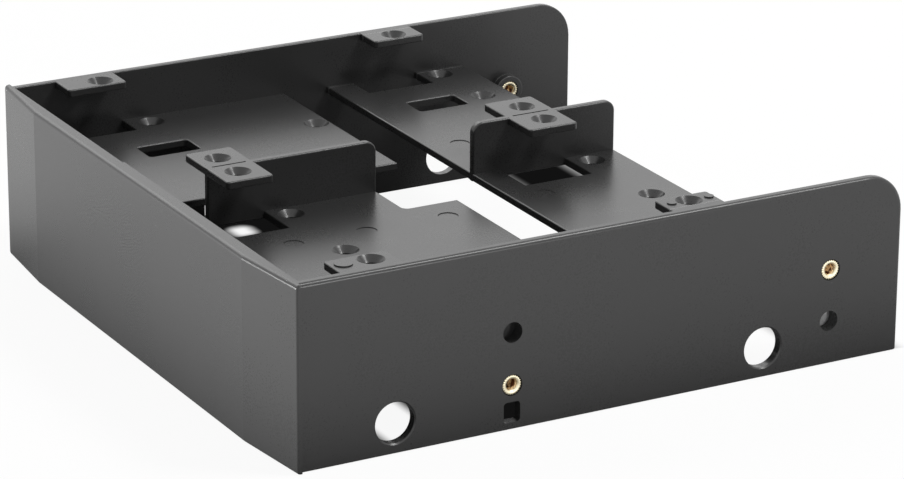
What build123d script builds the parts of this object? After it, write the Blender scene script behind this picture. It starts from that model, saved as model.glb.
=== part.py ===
from build123d import *
import os

# Drive bay adapter bracket for a half-height 5.25 inch bay, in millimetres.
# One moulded body carries a 3.5 inch drive under its deck and two 2.5 inch drives on it.
# X runs across the bay, Y from the bezel to the rear, Z up.
# The origin is at the bottom, in the middle of the overall width and depth.
# Every size named DEPTH_... is measured back from the foremost plane of the bezel.

# Overall body
BEZEL_WIDTH = 148.0
BEZEL_HEIGHT = 41.5
BEZEL_FLAT_WIDTH = 105.8
BEZEL_SETBACK = 2.0
BEZEL_RIM = 1.1
BODY_WIDTH = 146.05
BODY_DEPTH = 150.4
WALL_HEIGHT = 41.4
WALL = 2.2
OUTER_ROUND = 0.9
EDGE_ROUND = 0.3
BEZEL_ROUND = 0.9
BEZEL_SIDE_ROUND = 0.5
REAR_TOP_RADIUS = 8.7

# Deck that parts the two drive levels
DECK_TOP = 29.5
DECK_THICKNESS = 1.8
DECK_ROUND = 0.35
DEPTH_FRONT_DECK_END = 72.2
DEPTH_REAR_DECK_START = 83.5
DEPTH_REAR_DECK_END = 120.4
NOTCH_WIDTH = 28.0
NOTCH_LENGTH = 13.3
NOTCH_RADIUS = 1.5

# Openings in the deck under the tabs; each margin is the way past the edge of the tab
CENTRE_OPENING_MARGIN = 2.1
FRONT_WALL_OPENING_MARGIN = 0.4
REAR_WALL_OPENING_MARGIN = 1.4
DEPTH_FRONT_CENTRE_OPENING_END = 31.1
DEPTH_FRONT_WALL_OPENING_END = 29.9
DEPTH_REAR_OPENING_START = 90.4
DEPTH_REAR_OPENING_END = 107.4

# Rib on the centre line
RIB_THICKNESS = 1.8
RIB_CORNER = 2.5
RIB_ROUND = 0.4

# Small drives, 2.5 inch, side by side under the tabs
SMALL_PITCH_X = 61.72
SMALL_PITCH_Y = 76.6
DEPTH_TAB_ROW = 22.8
DEPTH_DECK_ROW = 35.6

# Large drive, 3.5 inch, screwed up to the underside of the deck
LARGE_PITCH_X = 95.25
LARGE_PITCH_Y = 44.45
DEPTH_LARGE_ROW = 68.8

# Countersunk screw holes
SCREW_HOLE = 3.2
SCREW_SINK = 6.0
SINK_ANGLE = 90

# Tabs
TAB_THICKNESS = 1.8
TAB_ROUND = 0.35
TAB_CORNER = 0.8
CENTRE_TAB_EDGE = 5.7
WALL_TAB_EDGE = 3.4
FRONT_TAB_AHEAD = 5.3
FRONT_TAB_BEHIND = 5.9
REAR_TAB_AHEAD = 6.8
REAR_TAB_BEHIND = 5.5
FRONT_WALL_TAB_AHEAD = 9.4
FRONT_WALL_TAB_BEHIND = 5.2
REAR_WALL_TAB_AHEAD = 6.7
REAR_WALL_TAB_BEHIND = 6.4
GROOVE_WIDTH = 0.5
GROOVE_DEPTH = 0.3
GROOVE_END = 1.55

# Marks left by the ejector pins, raised on the right tabs and sunk in the decks
MARK_HEIGHT = 0.25
MARK_DIAMETER_FRONT = 4.0
MARK_DIAMETER_REAR = 2.1
MARK_AHEAD_FRONT = 6.4
MARK_AHEAD_REAR = 4.3
MARK_BEHIND_REAR = 5.0
DECK_MARK_DIAMETER = 4.6
DECK_MARK_SINK = 0.15
DECK_MARK_X = 22.4
DECK_MARK_DEPTHS = (45.2, 65.3)
DEPTH_RIGHT_DECK_MARK = 27.4
REAR_DECK_MARK_X = 19.5
DEPTH_REAR_DECK_MARK = 91.4

# Slots in line with the rows of the large drive
SLOT_WIDTH = 7.6
SLOT_LENGTH = 12.6
SLOT_RADIUS = 0.8
DEPTH_FRONT_SLOT = 30.9
DEPTH_REAR_SLOT = 100.8

# Lip behind the bezel
LIP_THICKNESS = 0.9
LIP_DROP = 0.4

# Side wall fixings, in two columns at two heights
DEPTH_FRONT_COLUMN = 52.9
COLUMN_PITCH = 79.25
LOW_ROW = 10.0
HIGH_ROW = 21.84
BOSS_DIAMETER = 7.4
BOSS_LENGTH = 2.8
BLIND_DIAMETER = 4.6
BLIND_DEPTH = 3.3
ACCESS_DIAMETER = 9.2
ACCESS_CHAMFER = 0.3
ACCESS_HEIGHT = 6.8
DEPTH_FRONT_ACCESS = 25.15
ACCESS_PITCH = 90.1
LATCH_WIDTH = 4.0
LATCH_HEIGHT = 4.6
LATCH_RADIUS = 0.8
LATCH_ROW = 3.9

# Brass inserts, M3, pressed into the side walls
INSERT_DIAMETER = 4.8
INSERT_LENGTH = 4.8
INSERT_SINK = 0.1
INSERT_CLEARANCE = 0.02
INSERT_BORE = 2.5
INSERT_LEAD = 0.3
KNURL_TEETH = 24
KNURL_DEPTH = 0.25
KNURL_BAND = 1.9

# Overlap that joins the members of the moulding to one another
JOIN = 0.8


# Places worked out from the sizes above
HALF_WALL = BODY_WIDTH / 2
INNER_FACE = HALF_WALL - WALL
BAY_CENTRE = (INNER_FACE + RIB_THICKNESS / 2) / 2
CENTRE_ROW_X = BAY_CENTRE - SMALL_PITCH_X / 2
WALL_ROW_X = BAY_CENTRE + SMALL_PITCH_X / 2
CENTRE_TAB_HALF = CENTRE_ROW_X + CENTRE_TAB_EDGE
WALL_TAB_INNER = WALL_ROW_X - WALL_TAB_EDGE
DECK_BOTTOM = DECK_TOP - DECK_THICKNESS
BEZEL_BACK = BEZEL_SETBACK + BEZEL_RIM
DEPTH_NOTCH_START = DEPTH_FRONT_DECK_END - NOTCH_LENGTH


def back(depth):
    """Y of a plane that lies this far behind the front of the bezel."""
    return depth - BODY_DEPTH / 2


def plate(outline, bottom, top, rounding):
    """A level plate with all its outer edges rounded."""
    solid = Pos(0, 0, bottom) * extrude(outline, top - bottom)
    rims = solid.edges().group_by(Axis.Z)
    return fillet(rims[0] + rims[-1], rounding)


def rectangle(x_start, x_end, depth_start, depth_end):
    """A rectangle in plan, given by its edges."""
    centre = Pos((x_start + x_end) / 2, back((depth_start + depth_end) / 2))
    return centre * Rectangle(x_end - x_start, depth_end - depth_start)


def bezel():
    """Front plate: a flat middle with two facets that slope back to the sides."""
    half = BEZEL_WIDTH / 2
    flat = BEZEL_FLAT_WIDTH / 2
    outline = make_face(Polyline(
        (-half, back(BEZEL_SETBACK)),
        (-flat, back(0)),
        (flat, back(0)),
        (half, back(BEZEL_SETBACK)),
        (half, back(BEZEL_BACK)),
        (-half, back(BEZEL_BACK)),
        close=True,
    ))
    solid = extrude(outline, BEZEL_HEIGHT)
    rims = solid.edges().group_by(Axis.Z)
    front = rims[0].sort_by(Axis.Y)[:3] + rims[-1].sort_by(Axis.Y)[:3]
    solid = fillet(front, BEZEL_ROUND)
    sides = [solid.faces().sort_by(Axis.X)[end] for end in (0, -1)]
    return fillet([edge for face in sides for edge in face.edges().sort_by(Axis.Y)[:-1]], BEZEL_SIDE_ROUND)


def lip():
    """Low lip behind the right half of the bezel, from the far side of the centre opening to the wall."""
    start = -(CENTRE_TAB_HALF + CENTRE_OPENING_MARGIN)
    end = INNER_FACE + JOIN
    outline = rectangle(start, end, BEZEL_BACK - JOIN, BEZEL_BACK + LIP_THICKNESS)
    height = BEZEL_HEIGHT - LIP_DROP - DECK_BOTTOM
    return Pos(0, 0, DECK_BOTTOM) * extrude(outline, height)


def openings(wall_margin, start, centre_end, wall_end):
    """Gaps in a deck under its centre tab and its two wall tabs, in plan."""
    half = CENTRE_TAB_HALF + CENTRE_OPENING_MARGIN
    inner = WALL_TAB_INNER - wall_margin
    outer = INNER_FACE + JOIN
    return [
        rectangle(-half, half, start, centre_end),
        rectangle(-outer, -inner, start, wall_end),
        rectangle(inner, outer, start, wall_end),
    ]


def slot(side, depth):
    """Round-cornered slot in plan, in line with a screw row of the large drive."""
    place = Pos(side * LARGE_PITCH_X / 2, back(depth))
    return place * RectangleRounded(SLOT_WIDTH, SLOT_LENGTH, SLOT_RADIUS)


def deck(start, end, gaps, slot_depth, notch_start=None):
    """One of the two level decks, with its openings, slots and edges."""
    reach = INNER_FACE + JOIN
    outline = rectangle(-reach, reach, start, end) - gaps
    for side in (-1, 1):
        outline -= slot(side, slot_depth)
    if notch_start is not None:
        half = NOTCH_WIDTH / 2
        cut = rectangle(-half, half, notch_start, end + NOTCH_RADIUS)
        near = cut.vertices().group_by(Axis.Y)[0]
        outline -= fillet(near, NOTCH_RADIUS)
    return plate(outline, DECK_BOTTOM, DECK_TOP, DECK_ROUND)


def deck_cutters(row, large_row, marks):
    """Cutters for the screw holes and sunk ejector marks of one deck."""
    cutters = []
    for side in (-1, 1):
        for x in (CENTRE_ROW_X, SMALL_PITCH_X / 2, WALL_ROW_X):
            cutters.append(screw_hole(side * x, row, DECK_TOP))
        cutters.append(screw_hole(side * LARGE_PITCH_X / 2, large_row, DECK_TOP))
    for x, depth in marks:
        cutters.append(disc(x, depth, DECK_TOP - DECK_MARK_SINK, DECK_MARK_DIAMETER, DECK_THICKNESS))
    return cutters


def front_deck():
    """Deck from the bezel to the middle gap, with the notch in its rear edge."""
    gaps = openings(
        FRONT_WALL_OPENING_MARGIN,
        BEZEL_BACK,
        DEPTH_FRONT_CENTRE_OPENING_END,
        DEPTH_FRONT_WALL_OPENING_END,
    )
    plain = deck(BEZEL_BACK - JOIN, DEPTH_FRONT_DECK_END, gaps, DEPTH_FRONT_SLOT, DEPTH_NOTCH_START)
    marks = [(side * DECK_MARK_X, depth) for side in (-1, 1) for depth in DECK_MARK_DEPTHS]
    marks.append((DECK_MARK_X, DEPTH_RIGHT_DECK_MARK))
    return plain - deck_cutters(DEPTH_DECK_ROW, DEPTH_LARGE_ROW, marks)


def rear_deck():
    """Deck behind the middle gap."""
    gaps = openings(
        REAR_WALL_OPENING_MARGIN,
        DEPTH_REAR_OPENING_START,
        DEPTH_REAR_OPENING_END,
        DEPTH_REAR_OPENING_END,
    )
    plain = deck(DEPTH_REAR_DECK_START, DEPTH_REAR_DECK_END, gaps, DEPTH_REAR_SLOT)
    marks = [(side * REAR_DECK_MARK_X, DEPTH_REAR_DECK_MARK) for side in (-1, 1)]
    rear_row = DEPTH_DECK_ROW + SMALL_PITCH_Y
    return plain - deck_cutters(rear_row, DEPTH_LARGE_ROW + LARGE_PITCH_Y, marks)


def rib(start, end, round_front):
    """Upright rib on the centre line, with rounded upper corners."""
    outline = make_face(Polyline(
        (back(start), DECK_BOTTOM),
        (back(end), DECK_BOTTOM),
        (back(end), WALL_HEIGHT),
        (back(start), WALL_HEIGHT),
        close=True,
    ))
    top = outline.vertices().group_by(Axis.Y)[-1].sort_by(Axis.X)
    outline = fillet(top if round_front else top[-1], RIB_CORNER)
    solid = extrude(Plane.YZ * outline, RIB_THICKNESS)
    solid = fillet(solid.edges().filter_by(Axis.X, reverse=True), RIB_ROUND)
    return Pos(-RIB_THICKNESS / 2, 0, 0) * solid


def tab(x_start, x_end, depth_start, depth_end):
    """Screw tab with its top level with the wall tops."""
    outline = rectangle(x_start, x_end, depth_start, depth_end)
    outline = fillet(outline.vertices(), TAB_CORNER)
    return plate(outline, WALL_HEIGHT - TAB_THICKNESS, WALL_HEIGHT, TAB_ROUND)


def centre_tab(row, ahead, behind):
    """Tab that the rib carries, with a row of two screw holes."""
    plain = tab(-CENTRE_TAB_HALF, CENTRE_TAB_HALF, row - ahead, row + behind)
    return plain - [screw_hole(side * CENTRE_ROW_X, row, WALL_HEIGHT) for side in (-1, 1)]


def wall_tab(side, row, ahead, behind, marks):
    """Tab on the inside of a side wall, with one screw hole and its raised ejector marks."""
    inner = side * WALL_TAB_INNER
    outer = side * (INNER_FACE + WALL / 2)
    solid = tab(min(inner, outer), max(inner, outer), row - ahead, row + behind)
    x = side * WALL_ROW_X
    bottom = WALL_HEIGHT - TAB_THICKNESS / 2
    height = TAB_THICKNESS / 2 + MARK_HEIGHT
    solid += [disc(x, row + offset, bottom, size, height) for offset, size in marks]
    return solid - screw_hole(x, row, WALL_HEIGHT)


def wall_tabs(side):
    """The front and the rear tab of one side wall. Only the right ones carry raised marks."""
    front_marks = [(-MARK_AHEAD_FRONT, MARK_DIAMETER_FRONT)] if side > 0 else []
    rear_offsets = (-MARK_AHEAD_REAR, MARK_BEHIND_REAR) if side > 0 else ()
    rear_marks = [(offset, MARK_DIAMETER_REAR) for offset in rear_offsets]
    rear_row = DEPTH_TAB_ROW + SMALL_PITCH_Y
    return [
        wall_tab(side, DEPTH_TAB_ROW, FRONT_WALL_TAB_AHEAD, FRONT_WALL_TAB_BEHIND, front_marks),
        wall_tab(side, rear_row, REAR_WALL_TAB_AHEAD, REAR_WALL_TAB_BEHIND, rear_marks),
    ]


def groove(row, ahead, behind):
    """Cutter for the fine groove between the two holes of a centre tab."""
    half = GROOVE_WIDTH / 2
    outline = rectangle(-half, half, row - ahead + GROOVE_END, row + behind - GROOVE_END)
    return Pos(0, 0, WALL_HEIGHT - GROOVE_DEPTH) * extrude(outline, GROOVE_DEPTH * 2)


def disc(x, depth, bottom, diameter, height):
    """Level disc, for an ejector mark that stands up or is sunk."""
    return Pos(x, back(depth), bottom) * extrude(Circle(diameter / 2), height)


def screw_hole(x, depth, top):
    """Cutter for a countersunk screw hole that opens on a level face."""
    hole = CounterSinkHole(SCREW_HOLE / 2, SCREW_SINK / 2, 2 * TAB_THICKNESS, SINK_ANGLE)
    return Pos(x, back(depth), top) * hole


def on_wall(side, depth, height, inset=0):
    """Plane on the outer face of a side wall, facing out, or sunk into it by the inset."""
    return Plane(
        origin=(side * (HALF_WALL - inset), back(depth), height),
        x_dir=(0, side, 0),
        z_dir=(side, 0, 0),
    )


def insert_places():
    """Side, depth and height of each brass insert, by the name of its place."""
    rear = DEPTH_FRONT_COLUMN + COLUMN_PITCH
    return {
        "left_front": (-1, DEPTH_FRONT_COLUMN, LOW_ROW),
        "left_rear": (-1, rear, HIGH_ROW),
        "right_front": (1, DEPTH_FRONT_COLUMN, LOW_ROW),
        "right_rear": (1, rear, HIGH_ROW),
    }


def blind_places():
    """Side, depth and height of each blind hole."""
    rear = DEPTH_FRONT_COLUMN + COLUMN_PITCH
    return [(side, *spot) for side in (-1, 1) for spot in ((DEPTH_FRONT_COLUMN, HIGH_ROW), (rear, LOW_ROW))]


def boss(side, depth, height):
    """Round boss behind a side fixing, on the inside of the wall."""
    length = WALL / 2 + BOSS_LENGTH
    solid = extrude(Circle(BOSS_DIAMETER / 2), -length)
    solid = fillet(solid.edges().sort_by(Axis.Z)[0], EDGE_ROUND)
    return on_wall(side, depth, height, WALL / 2) * solid


def bare_wall(side):
    """Side wall without its bosses and holes, with a large radius at its rear top corner."""
    start = back(BEZEL_BACK - JOIN)
    end = back(BODY_DEPTH)
    outline = make_face(Polyline(
        (start, 0),
        (end, 0),
        (end, WALL_HEIGHT),
        (start, WALL_HEIGHT),
        close=True,
    ))
    rear_high = outline.vertices().group_by(Axis.Y)[-1].sort_by(Axis.X)[-1]
    outline = fillet(rear_high, REAR_TOP_RADIUS)
    solid = extrude(Plane.YZ * outline, WALL)
    outside = solid.faces().sort_by(Axis.X)[-1 if side > 0 else 0]
    solid = fillet(outside.edges().sort_by(Axis.Z)[-1], OUTER_ROUND)
    inside = solid.faces().sort_by(Axis.X)[0 if side > 0 else -1]
    under = solid.faces().sort_by(Axis.Z)[0]
    rims = inside.edges() + under.edges()
    solid = fillet(rims, EDGE_ROUND)
    return Pos(INNER_FACE if side > 0 else -HALF_WALL, 0, 0) * solid


def wall_cutters(side):
    """Cutters for every hole in one side wall."""
    through = WALL + BOSS_LENGTH + JOIN
    cutters = []
    for place_side, depth, height in insert_places().values():
        if place_side == side:
            pocket = Circle(INSERT_DIAMETER / 2 + INSERT_CLEARANCE)
            cutters.append(on_wall(side, depth, height) * extrude(pocket, -through))
    for place_side, depth, height in blind_places():
        if place_side == side:
            cutters.append(on_wall(side, depth, height) * extrude(Circle(BLIND_DIAMETER / 2), -BLIND_DEPTH))
    for step in (0, 1):
        depth = DEPTH_FRONT_ACCESS + step * ACCESS_PITCH
        hole = CounterSinkHole(
            ACCESS_DIAMETER / 2,
            ACCESS_DIAMETER / 2 + ACCESS_CHAMFER,
            WALL + JOIN,
            SINK_ANGLE,
        )
        cutters.append(on_wall(side, depth, ACCESS_HEIGHT) * hole)
    latch = RectangleRounded(LATCH_WIDTH, LATCH_HEIGHT, LATCH_RADIUS)
    cutters.append(on_wall(side, DEPTH_FRONT_COLUMN, LATCH_ROW) * extrude(latch, -through))
    return cutters


def side_wall(side):
    """Side wall with its bosses, insert pockets and holes."""
    places = list(insert_places().values()) + blind_places()
    bosses = [boss(*place) for place in places if place[0] == side]
    return bare_wall(side) + bosses - wall_cutters(side)


def bracket_body():
    """The whole moulding, as one solid."""
    rear_row = DEPTH_TAB_ROW + SMALL_PITCH_Y
    members = [
        lip(),
        front_deck(),
        rear_deck(),
        side_wall(-1),
        side_wall(1),
        rib(DEPTH_TAB_ROW - FRONT_TAB_AHEAD, DEPTH_NOTCH_START, False),
        rib(DEPTH_REAR_DECK_START, DEPTH_REAR_DECK_END, True),
        centre_tab(DEPTH_TAB_ROW, FRONT_TAB_AHEAD, FRONT_TAB_BEHIND),
        centre_tab(rear_row, REAR_TAB_AHEAD, REAR_TAB_BEHIND),
    ]
    members += wall_tabs(-1) + wall_tabs(1)
    grooves = [
        groove(DEPTH_TAB_ROW, FRONT_TAB_AHEAD, FRONT_TAB_BEHIND),
        groove(rear_row, REAR_TAB_AHEAD, REAR_TAB_BEHIND),
    ]
    return bezel() + members - grooves


def knurl(start):
    """Knurled band of an insert, from this distance below its outer end."""
    points = []
    for tooth in range(2 * KNURL_TEETH):
        radius = INSERT_DIAMETER / 2 - (KNURL_DEPTH if tooth % 2 else 0)
        points.append((Vector(radius, 0, 0).rotate(Axis.Z, tooth * 180 / KNURL_TEETH)))
    outline = make_face(Polyline(*points, close=True))
    return Pos(0, 0, -start - KNURL_BAND) * extrude(outline, KNURL_BAND)


def insert():
    """Threaded insert with two knurled bands; its outer end is at the origin, facing +Z."""
    core = extrude(Circle(INSERT_DIAMETER / 2 - 2 * KNURL_DEPTH), -INSERT_LENGTH)
    solid = core + [knurl(0), knurl(INSERT_LENGTH - KNURL_BAND)]
    solid -= extrude(Circle(INSERT_BORE / 2), -INSERT_LENGTH)
    rims = solid.edges().filter_by(GeomType.CIRCLE).filter_by(lambda edge: edge.radius < INSERT_BORE)
    mouths = [edge for edge in rims if abs(edge.radius - INSERT_BORE / 2) < INSERT_CLEARANCE]
    return chamfer(mouths, INSERT_LEAD)


def main():
    os.makedirs("parts", exist_ok=True)
    export_step(bracket_body(), "parts/bracket_body.step")
    for name, (side, depth, height) in insert_places().items():
        placed = on_wall(side, depth, height, INSERT_SINK) * insert()
        export_step(placed, f"parts/brass_insert_{name}.step")


main()
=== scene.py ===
import math

import bpy
import numpy as np
from mathutils import Euler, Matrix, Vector


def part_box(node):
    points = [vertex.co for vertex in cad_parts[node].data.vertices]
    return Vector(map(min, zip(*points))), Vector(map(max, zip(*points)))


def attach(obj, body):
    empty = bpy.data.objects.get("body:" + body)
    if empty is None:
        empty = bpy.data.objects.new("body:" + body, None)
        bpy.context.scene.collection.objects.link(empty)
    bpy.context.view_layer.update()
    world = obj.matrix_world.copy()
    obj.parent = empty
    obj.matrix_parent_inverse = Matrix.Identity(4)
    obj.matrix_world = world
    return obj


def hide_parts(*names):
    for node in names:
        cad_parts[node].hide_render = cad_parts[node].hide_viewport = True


# Looks of a black moulded drive bay bracket with four brass inserts.
# Lengths are in metres unless a name says otherwise. X runs across, Y from the bezel to the rear, Z up.

MM = 0.001

# Camera: the photograph's viewpoint, 61 degrees round from the front and 20 degrees up
CAMERA_PLACE = (0.79810, -0.43862, 0.34890)
CAMERA_TURN = (69.8815, -0.3346, 61.1243)
CAMERA_LENS = 171.45
CAMERA_SHIFT = (-0.00100, -0.00130)

# Lamps: name, place, width and height, level
LAMPS = [
    ("left_high", (-0.9, 0.0, 0.8), (0.8, 0.8), 0.22),
    ("back_left_high", (-0.8, 0.7, 0.6), (0.8, 0.8), 0.06),
    ("front_low", (-0.5, -1.2, 0.02), (0.8, 0.036), 0.97),
    ("right_back_high", (0.4, 0.53, 0.97), (0.34, 0.34), 0.34),
    ("right_low", (0.55, 0.14, 0.02), (0.036, 0.036), 0.12),
]
WORLD_LEVEL = 0.15

# Floor. In a box, the first numbers are its centre and the next its half size.
FLOOR_SIZE = 3.0
FLOOR_GREY = 0.85
# What the camera and gloss see of the floor: its glow in the light and in the shade, and some of its paint
GLOW_LEVEL = 0.92
SHADE_LEVEL = 0.006
PAINT_SEEN = 0.12
# Box of the shade under the bracket, and the width of its soft edge
SHADE_BOX = ((0.0, 0.0055, 0.0), (0.070, 0.075, 0.0))
SHADE_EDGE = 0.0035
# Boxes in the shade where light reaches the floor, each with the width of its soft edge: the gap between
# the decks, twice, inside the two large holes on the right, a spot by the left wall, and behind the bracket
LIT_BOXES = [
    ((0.0, 0.0335, 0.0), (0.1, 0.0155, 0.0), 0.004),
    ((0.0, 0.0385, 0.0), (0.1, 0.0105, 0.0), 0.010),
    ((0.058, -0.0425, 0.0), (0.009, 0.004, 0.0), 0.004),
    ((0.0585, 0.049, 0.0), (0.009, 0.005, 0.0), 0.008),
    ((-0.0625, -0.0185, 0.0), (0.001, 0.0005, 0.0), 0.004),
    ((0.0, 0.15, 0.0), (0.2, 0.071, 0.0), 0.009),
]
# How much light gloss finds on the floor, over this distance from the shade
NEAR_REACH = 0.1
NEAR_STOPS = [(0.0, 0.08), (0.1, 0.3), (0.3, 0.68), (0.6, 0.92), (1.0, 1.0)]

# Black plastic: sizes of its grain, slow waves and dust, and its colours
GRAIN_CELL = 0.4 * MM
WAVE_CELL = 14 * MM
DUST_CELL = 0.5 * MM
DUST_STOPS = [(0.0, 0), (0.69, 0), (0.75, 1)]
DUST_SHARE = 0.35
PLASTIC_BLACK = (0.045, 0.045, 0.045, 1)
DUST_GREY = (0.08, 0.08, 0.08, 1)
PLASTIC_GLOSS = 1.54
GRAIN_HEIGHT = 0.006 * MM
GRAIN_STRENGTH = 0.7
# The side walls' outer faces, from which the depth of their holes is measured
BODY_HALF_WIDTH = 0.073025
# The floors of the rear blind holes, past these Y, are painted pale grey: painted light standing in for a
# lit floor
BLIND_DEPTH = 3.3 * MM
BLIND_FLOOR = (0.03 * MM, 0.06 * MM)
PAINTED_LIGHT_Y = (-0.005, 0.005)
HOLE_FLOOR_PAINTED_LIGHT = (0.6, 0.6, 0.6, 1)

# Brass: sizes of its tone changes, tool lines and thread patches, and its colours
TONE_CELL = 0.6 * MM
LINE_CELL = 0.09 * MM
PATCH_CELL = 1.3 * MM
PATCH_STOPS = [(0.0, 0), (0.44, 0), (0.55, 1)]
BRASS_DEEP = (0.95, 0.84, 0.58, 1)
BRASS_PALE = (1.0, 0.93, 0.72, 1)
# Painted shade and painted glints of the thread
THREAD_SHADE_BROWN = (0.08, 0.025, 0.008, 1)
THREAD_GLINT_GOLD = (0.9, 0.6, 0.3, 1)
LINE_HEIGHT = 0.004 * MM
LINE_STRENGTH = 0.5
# Painted shade in the thread: its brown and gold patches fill the bore up to the first distance from this
# depth, and give way to plain brass beyond the second distance
THREAD_MIDDLE = 2.5 * MM
THREAD_SHADE_FULL = 1.3 * MM
THREAD_SHADE_END = 2.1 * MM

# Threaded insert, in millimetres; a depth is measured inwards from its outer end
INSERT_RADIUS = 2.34
INSERT_LENGTH = 4.8
KNURL_TEETH = 24
KNURL_DEPTH = 0.26
KNURL_TWIST = 0.9
BAND_LENGTH = 1.9
WAIST_RADIUS = 1.9
WAIST_STEP = 0.05
END_RADIUS = INSERT_RADIUS - 0.5
RIM_BEVEL = 0.16
RIM_RADIUS = INSERT_RADIUS - RIM_BEVEL
THREAD_MINOR = 1.25
THREAD_MAJOR = 1.52
THREAD_PITCH = 0.5
MOUTH_RADIUS = 1.55
# The thread's section is a triangle of this height and slope, cut off flat at 0 and 1
RIDGE_HEIGHT = 1.15
RIDGE_SLOPE = 1.3
THREAD_START = 0.3
STEPS_ROUND = 192
STEPS_A_PITCH = 8


class Number:
    """A socket that carries a number: sums and products on it add Math nodes."""

    def __init__(self, sheet, socket):
        self.sheet = sheet
        self.socket = socket

    def sum_of(self, operation, first, second):
        node = self.sheet.add("ShaderNodeMath", {"operation": operation}, {0: first, 1: second})
        return Number(self.sheet, node.outputs[0])

    def __add__(self, other):
        return self.sum_of("ADD", self, other)

    def __sub__(self, other):
        return self.sum_of("SUBTRACT", self, other)

    def __rsub__(self, other):
        return self.sum_of("SUBTRACT", other, self)

    def __mul__(self, other):
        return self.sum_of("MULTIPLY", self, other)

    __radd__ = __add__
    __rmul__ = __mul__

    def or_more(self, other):
        """The larger of this number and another."""
        return self.sum_of("MAXIMUM", self, other)

    def size(self):
        """This number without its sign."""
        return self.sum_of("ABSOLUTE", self, 0.0)


class NodeSheet:
    """The nodes of one material, or of the world."""

    def __init__(self, tree):
        tree.nodes.clear()
        self.tree = tree

    def add(self, kind, settings=None, sockets=None):
        """A node of this type. Its settings come first, then the values or links of its sockets."""
        node = self.tree.nodes.new(kind)
        for name, value in (settings or {}).items():
            if name == "stops":
                self.set_stops(node.color_ramp, value)
            else:
                setattr(node, name, value)
        for name, value in (sockets or {}).items():
            self.feed(node.inputs[name], value)
        return node

    def feed(self, socket, value):
        """Links a number or a socket, or sets a plain value."""
        if isinstance(value, Number):
            value = value.socket
        if isinstance(value, bpy.types.NodeSocket):
            self.tree.links.new(value, socket)
        else:
            socket.default_value = value

    def set_stops(self, ramp, stops):
        """Puts stops of (place, grey) on a colour ramp."""
        while len(ramp.elements) < len(stops):
            ramp.elements.new(1.0)
        for element, (place, grey) in zip(ramp.elements, stops):
            element.position = place
            element.color = (grey, grey, grey, 1)

    def object_place(self):
        return self.add("ShaderNodeTexCoord").outputs["Object"]

    def noise(self, cell, detail, roughness=0.5):
        """Noise with cells of about this size, in metres."""
        node = self.add("ShaderNodeTexNoise", None, {
            "Vector": self.object_place(),
            "Scale": 1 / cell,
            "Detail": detail,
            "Roughness": roughness,
        })
        return Number(self, node.outputs["Fac"])

    def ramp(self, number, stops):
        node = self.add("ShaderNodeValToRGB", {"stops": stops}, {"Fac": number})
        return Number(self, node.outputs["Color"])

    def vector(self, operation, first, second=(0, 0, 0), output="Vector"):
        node = self.add("ShaderNodeVectorMath", {"operation": operation}, {0: first, 1: second})
        return node.outputs[output]

    def outside(self, place, centre, half):
        """The distance of a place from a box given by its centre and half size: 0 inside it."""
        from_centre = self.vector("ABSOLUTE", self.vector("SUBTRACT", place, centre))
        reach = self.vector("MAXIMUM", self.vector("SUBTRACT", from_centre, half))
        return Number(self, self.vector("LENGTH", reach, output="Value"))

    def part(self, vector, axis):
        """One of the X, Y and Z of a vector."""
        return Number(self, self.add("ShaderNodeSeparateXYZ", None, {0: vector}).outputs[axis])

    def fade(self, number, start, end, first, last):
        """Goes softly from first to last while the number goes from start to end."""
        node = self.add("ShaderNodeMapRange", {"interpolation_type": "SMOOTHSTEP"}, {
            "Value": number,
            "From Min": start,
            "From Max": end,
            "To Min": first,
            "To Max": last,
        })
        return Number(self, node.outputs["Result"])

    def blend(self, factor, first, second):
        """A colour between two colours."""
        node = self.add("ShaderNodeMix", {"data_type": "RGBA"}, {"Factor": factor, 6: first, 7: second})
        return node.outputs[2]

    def bump(self, height, depth, strength):
        """A normal from a height between 0 and 1, where 1 stands this many metres proud."""
        node = self.add("ShaderNodeBump", None, {"Height": height, "Distance": depth, "Strength": strength})
        return node.outputs["Normal"]

    def wall_depth(self, place):
        """How deep a place is inside the left or the right wall, from that wall's outer face."""
        return BODY_HALF_WIDTH - self.part(place, "X").size()

    def finish(self, shader, kind="ShaderNodeOutputMaterial"):
        self.add(kind, None, {"Surface": shader})


def new_material(name):
    material = bpy.data.materials.new(name)
    material.use_nodes = True
    return material, NodeSheet(material.node_tree)


def black_abs():
    """Satin black moulded plastic: fine spark-eroded grain, a slow unevenness and faint dust."""
    material, sheet = new_material("black_abs")
    grain = sheet.noise(GRAIN_CELL, detail=3.0, roughness=0.6)
    waves = sheet.noise(WAVE_CELL, detail=1.0)
    dust = sheet.ramp(sheet.noise(DUST_CELL, detail=1.0), DUST_STOPS)
    colour = sheet.blend(dust * DUST_SHARE, PLASTIC_BLACK, DUST_GREY)
    place = sheet.object_place()
    # Painted light: the floors of the rear blind holes are painted pale grey instead of black
    off_floor = (sheet.wall_depth(place) - BLIND_DEPTH).size()
    at_floor = sheet.fade(off_floor, *BLIND_FLOOR, 1, 0)
    at_rear = sheet.fade(sheet.part(place, "Y"), *PAINTED_LIGHT_Y, 0, 1)
    shader = sheet.add("ShaderNodeBsdfPrincipled", None, {
        "Base Color": sheet.blend(at_floor * at_rear, colour, HOLE_FLOOR_PAINTED_LIGHT),
        "Roughness": 0.22 + grain * 0.08 + waves * 0.05,
        "IOR": PLASTIC_GLOSS,
        "Normal": sheet.bump(grain * 0.75 + waves * 0.25, GRAIN_HEIGHT, GRAIN_STRENGTH),
    })
    sheet.finish(shader.outputs["BSDF"])
    return material


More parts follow.
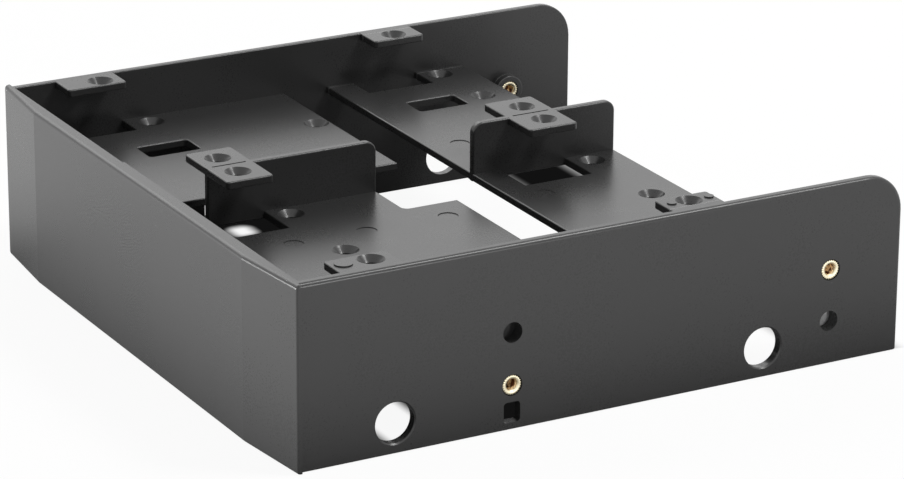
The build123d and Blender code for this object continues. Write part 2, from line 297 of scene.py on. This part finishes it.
def insert_brass():
    """Turned brass with fine tool lines and small changes of tone. Inside, the thread is painted shade:
    dark brown, with random gold patches as painted glints.
    """
    material, sheet = new_material("insert_brass")
    tone = sheet.noise(TONE_CELL, detail=2.0)
    lines = sheet.noise(LINE_CELL, detail=2.0)
    turned = sheet.blend(tone, BRASS_DEEP, BRASS_PALE)
    patches = sheet.ramp(sheet.noise(PATCH_CELL, detail=1.0), PATCH_STOPS)
    # Painted shade and glints: the thread's colour darkens the middle of the bore by its depth in the wall
    thread = sheet.blend(patches, THREAD_SHADE_BROWN, THREAD_GLINT_GOLD)
    off_middle = (sheet.wall_depth(sheet.object_place()) - THREAD_MIDDLE).size()
    painted_shade = sheet.fade(off_middle, THREAD_SHADE_FULL, THREAD_SHADE_END, 1, 0)
    shader = sheet.add("ShaderNodeBsdfPrincipled", None, {
        "Base Color": sheet.blend(painted_shade, turned, thread),
        "Metallic": 1.0,
        "Roughness": 0.36 + tone * 0.12,
        "Normal": sheet.bump(lines, LINE_HEIGHT, LINE_STRENGTH),
    })
    sheet.finish(shader.outputs["BSDF"])
    return material


def floor_white():
    """Pale floor, white to the camera and in gloss.

    It is dark in the shade under the bracket, apart from where light falls through the gap between
    the decks and through holes. What gloss shows of it also fades close to the bracket. From below
    it is clear, so that the underside of the bracket can be looked at.
    """
    material, sheet = new_material("floor_white")
    path = sheet.add("ShaderNodeLightPath")
    gloss = Number(sheet, path.outputs["Is Glossy Ray"])
    seen = Number(sheet, path.outputs["Is Camera Ray"]) + gloss
    place = sheet.object_place()
    away = sheet.outside(place, *SHADE_BOX)
    light = sheet.fade(away, 0, SHADE_EDGE, 0, 1)
    for centre, half, edge in LIT_BOXES:
        light = light.or_more(sheet.fade(sheet.outside(place, centre, half), 0, edge, 1, 0))
    near = sheet.ramp(away * (1 / NEAR_REACH), NEAR_STOPS)
    light = light * (1 - gloss * (1 - near))
    level = (light * GLOW_LEVEL + SHADE_LEVEL) * seen
    grey = FLOOR_GREY - seen * (FLOOR_GREY - light * PAINT_SEEN)
    paint = sheet.add("ShaderNodeBsdfDiffuse", None, {"Color": grey})
    glow = sheet.add("ShaderNodeEmission", None, {"Color": level, "Strength": 1.0})
    above = sheet.add("ShaderNodeAddShader", None, {0: paint.outputs[0], 1: glow.outputs[0]})
    clear = sheet.add("ShaderNodeBsdfTransparent")
    both_sides = sheet.add("ShaderNodeMixShader", None, {
        0: sheet.add("ShaderNodeNewGeometry").outputs["Backfacing"],
        1: above.outputs[0],
        2: clear.outputs[0],
    })
    sheet.finish(both_sides.outputs[0])
    return material


def set_world():
    """White for the camera and for gloss, and a plain soft level for everything else."""
    world = bpy.data.worlds.new("studio")
    world.use_nodes = True
    bpy.context.scene.world = world
    sheet = NodeSheet(world.node_tree)
    path = sheet.add("ShaderNodeLightPath")
    camera = Number(sheet, path.outputs["Is Camera Ray"])
    gloss = Number(sheet, path.outputs["Is Glossy Ray"])
    through = Number(sheet, path.outputs["Is Transmission Ray"])
    strength = WORLD_LEVEL + (camera + gloss + through) * (1 - WORLD_LEVEL)
    background = sheet.add("ShaderNodeBackground", None, {"Color": (1, 1, 1, 1), "Strength": strength})
    sheet.finish(background.outputs[0], "ShaderNodeOutputWorld")


def grid_mesh(name, points, material):
    """A closed ring of rings as a mesh: points is a grid of (around, along, xyz) that wraps both ways."""
    around, along = points.shape[:2]
    index = np.arange(around * along).reshape(around, along)
    ahead = np.roll(index, -1, axis=0)
    beside = np.roll(index, -1, axis=1)
    both = np.roll(ahead, -1, axis=1)
    faces = np.stack([index, beside, both, ahead], axis=-1).reshape(-1, 4)
    mesh = bpy.data.meshes.new(name)
    mesh.from_pydata(points.reshape(-1, 3).tolist(), [], faces.tolist())
    mesh.materials.append(material)
    mesh.shade_smooth()
    mesh.update()
    piece = bpy.data.objects.new(name, mesh)
    bpy.context.scene.collection.objects.link(piece)
    return piece


def insert_section():
    """Depth, radius, knurl share and twist sense along the outside of an insert.

    The outline starts at the mouth, runs over the outer end, along both knurled bands with the
    waist between them, and over the inner end to the far mouth.
    """
    far = INSERT_LENGTH
    band = BAND_LENGTH
    return np.array([
        (0.0, MOUTH_RADIUS, 0.0, 1),
        (0.0, END_RADIUS, 0.0, 1),
        (0.0, RIM_RADIUS, 1.0, 1),
        (RIM_BEVEL, INSERT_RADIUS, 1.0, 1),
        (band / 2, INSERT_RADIUS, 1.0, 1),
        (band - RIM_BEVEL, INSERT_RADIUS, 1.0, 1),
        (band, RIM_RADIUS, 1.0, 1),
        (band + WAIST_STEP, WAIST_RADIUS, 0.0, 1),
        (far - band - WAIST_STEP, WAIST_RADIUS, 0.0, -1),
        (far - band, RIM_RADIUS, 1.0, -1),
        (far - band + RIM_BEVEL, INSERT_RADIUS, 1.0, -1),
        (far - band / 2, INSERT_RADIUS, 1.0, -1),
        (far - RIM_BEVEL, INSERT_RADIUS, 1.0, -1),
        (far, RIM_RADIUS, 1.0, -1),
        (far, END_RADIUS, 0.0, -1),
        (far, MOUTH_RADIUS, 0.0, -1),
    ])


def insert_grid():
    """Points of an insert about +Z with its outer end at 0, as a grid of (around, along, xyz).

    Outside, radius = outline - knurl depth * (1 + cosine of (teeth * angle + pi * twist)) / 2, where the
    twist grows with the depth into the knurled band, one way on one band and the other way on the other.
    Inside, radius = minor + (major - minor) * triangle wave of (depth / pitch - angle / full turn), and the
    thread fades in over a pitch from the mouth at each end.
    """
    angle = np.linspace(0, 2 * np.pi, STEPS_ROUND, endpoint=False)[:, None]
    depth, radius, knurl, sense = insert_section().T
    band_start = np.where(sense > 0, 0, INSERT_LENGTH - BAND_LENGTH)
    twist = sense * KNURL_TWIST * np.clip(depth - band_start, 0, None)
    wave = 0.5 + 0.5 * np.cos(KNURL_TEETH * angle + twist * np.pi)
    shell = radius - KNURL_DEPTH * knurl * wave
    lead = MOUTH_RADIUS - THREAD_MINOR
    bore_depth = np.arange(INSERT_LENGTH - lead, lead, -THREAD_PITCH / STEPS_A_PITCH)
    turn = (bore_depth / THREAD_PITCH - angle / (2 * np.pi)) % 1.0
    ridge = np.clip(RIDGE_HEIGHT - np.abs(2 * turn - 1) * RIDGE_SLOPE, 0, 1)
    from_end = np.minimum(bore_depth - lead, INSERT_LENGTH - lead - bore_depth)
    ends = np.clip(from_end / THREAD_PITCH + THREAD_START, 0, 1)
    bore = THREAD_MINOR + (THREAD_MAJOR - THREAD_MINOR) * ridge * ends
    radii = np.concatenate([shell, bore], axis=1)
    depths = np.broadcast_to(np.concatenate([depth, bore_depth]), radii.shape)
    return np.stack([radii * np.cos(angle), radii * np.sin(angle), -depths], axis=-1) * MM


def threaded_insert(node, material):
    """A knurled brass insert in the place of its node, facing out of its wall."""
    low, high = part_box(node)
    side = 1 if low.x > 0 else -1
    outer = high.x if side > 0 else low.x
    grid = insert_grid()
    turned = np.stack([side * grid[..., 2], side * grid[..., 0], grid[..., 1]], axis=-1)
    centre = np.array([outer, (low.y + high.y) / 2, (low.z + high.z) / 2])
    piece = grid_mesh(node + "_turned", turned + centre, material)
    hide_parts(node)
    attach(piece, "root")


def lay_floor():
    bpy.ops.mesh.primitive_plane_add(size=FLOOR_SIZE, location=(0, 0, 0))
    floor = bpy.context.object
    floor.name = "floor"
    floor.data.materials.append(floor_white())


def add_lamp(name, place, size, level):
    """A soft lamp turned to the bracket. At level 1 a white face turned to it looks white."""
    lamp = bpy.data.lights.new(name, "AREA")
    lamp.shape = "RECTANGLE"
    lamp.size, lamp.size_y = size
    lamp.energy = level * math.pi ** 2 * Vector(place).length_squared
    holder = bpy.data.objects.new(name, lamp)
    holder.location = place
    holder.rotation_euler = (-Vector(place)).to_track_quat("-Z", "Y").to_euler()
    bpy.context.scene.collection.objects.link(holder)


def place_camera():
    camera = bpy.data.cameras.new("camera")
    camera.lens = CAMERA_LENS
    camera.shift_x, camera.shift_y = CAMERA_SHIFT
    camera.clip_start = 0.01
    camera.clip_end = 50
    holder = bpy.data.objects.new("camera", camera)
    holder.location = CAMERA_PLACE
    holder.rotation_euler = Euler([math.radians(turn) for turn in CAMERA_TURN])
    bpy.context.scene.collection.objects.link(holder)
    bpy.context.scene.camera = holder


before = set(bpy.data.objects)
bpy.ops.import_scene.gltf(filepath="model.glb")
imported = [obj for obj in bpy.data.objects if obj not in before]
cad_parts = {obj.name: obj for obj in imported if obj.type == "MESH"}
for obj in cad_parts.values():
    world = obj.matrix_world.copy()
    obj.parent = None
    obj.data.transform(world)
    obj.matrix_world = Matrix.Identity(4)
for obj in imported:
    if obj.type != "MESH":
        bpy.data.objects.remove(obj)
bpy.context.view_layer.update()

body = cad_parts["bracket_body"]
body.data.materials.clear()
body.data.materials.append(black_abs())
brass = insert_brass()
for node in sorted(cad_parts):
    if node.startswith("brass_insert"):
        threaded_insert(node, brass)

lay_floor()
set_world()
for lamp in LAMPS:
    add_lamp(*lamp)
place_camera()
bpy.context.scene.view_settings.view_transform = "Standard"
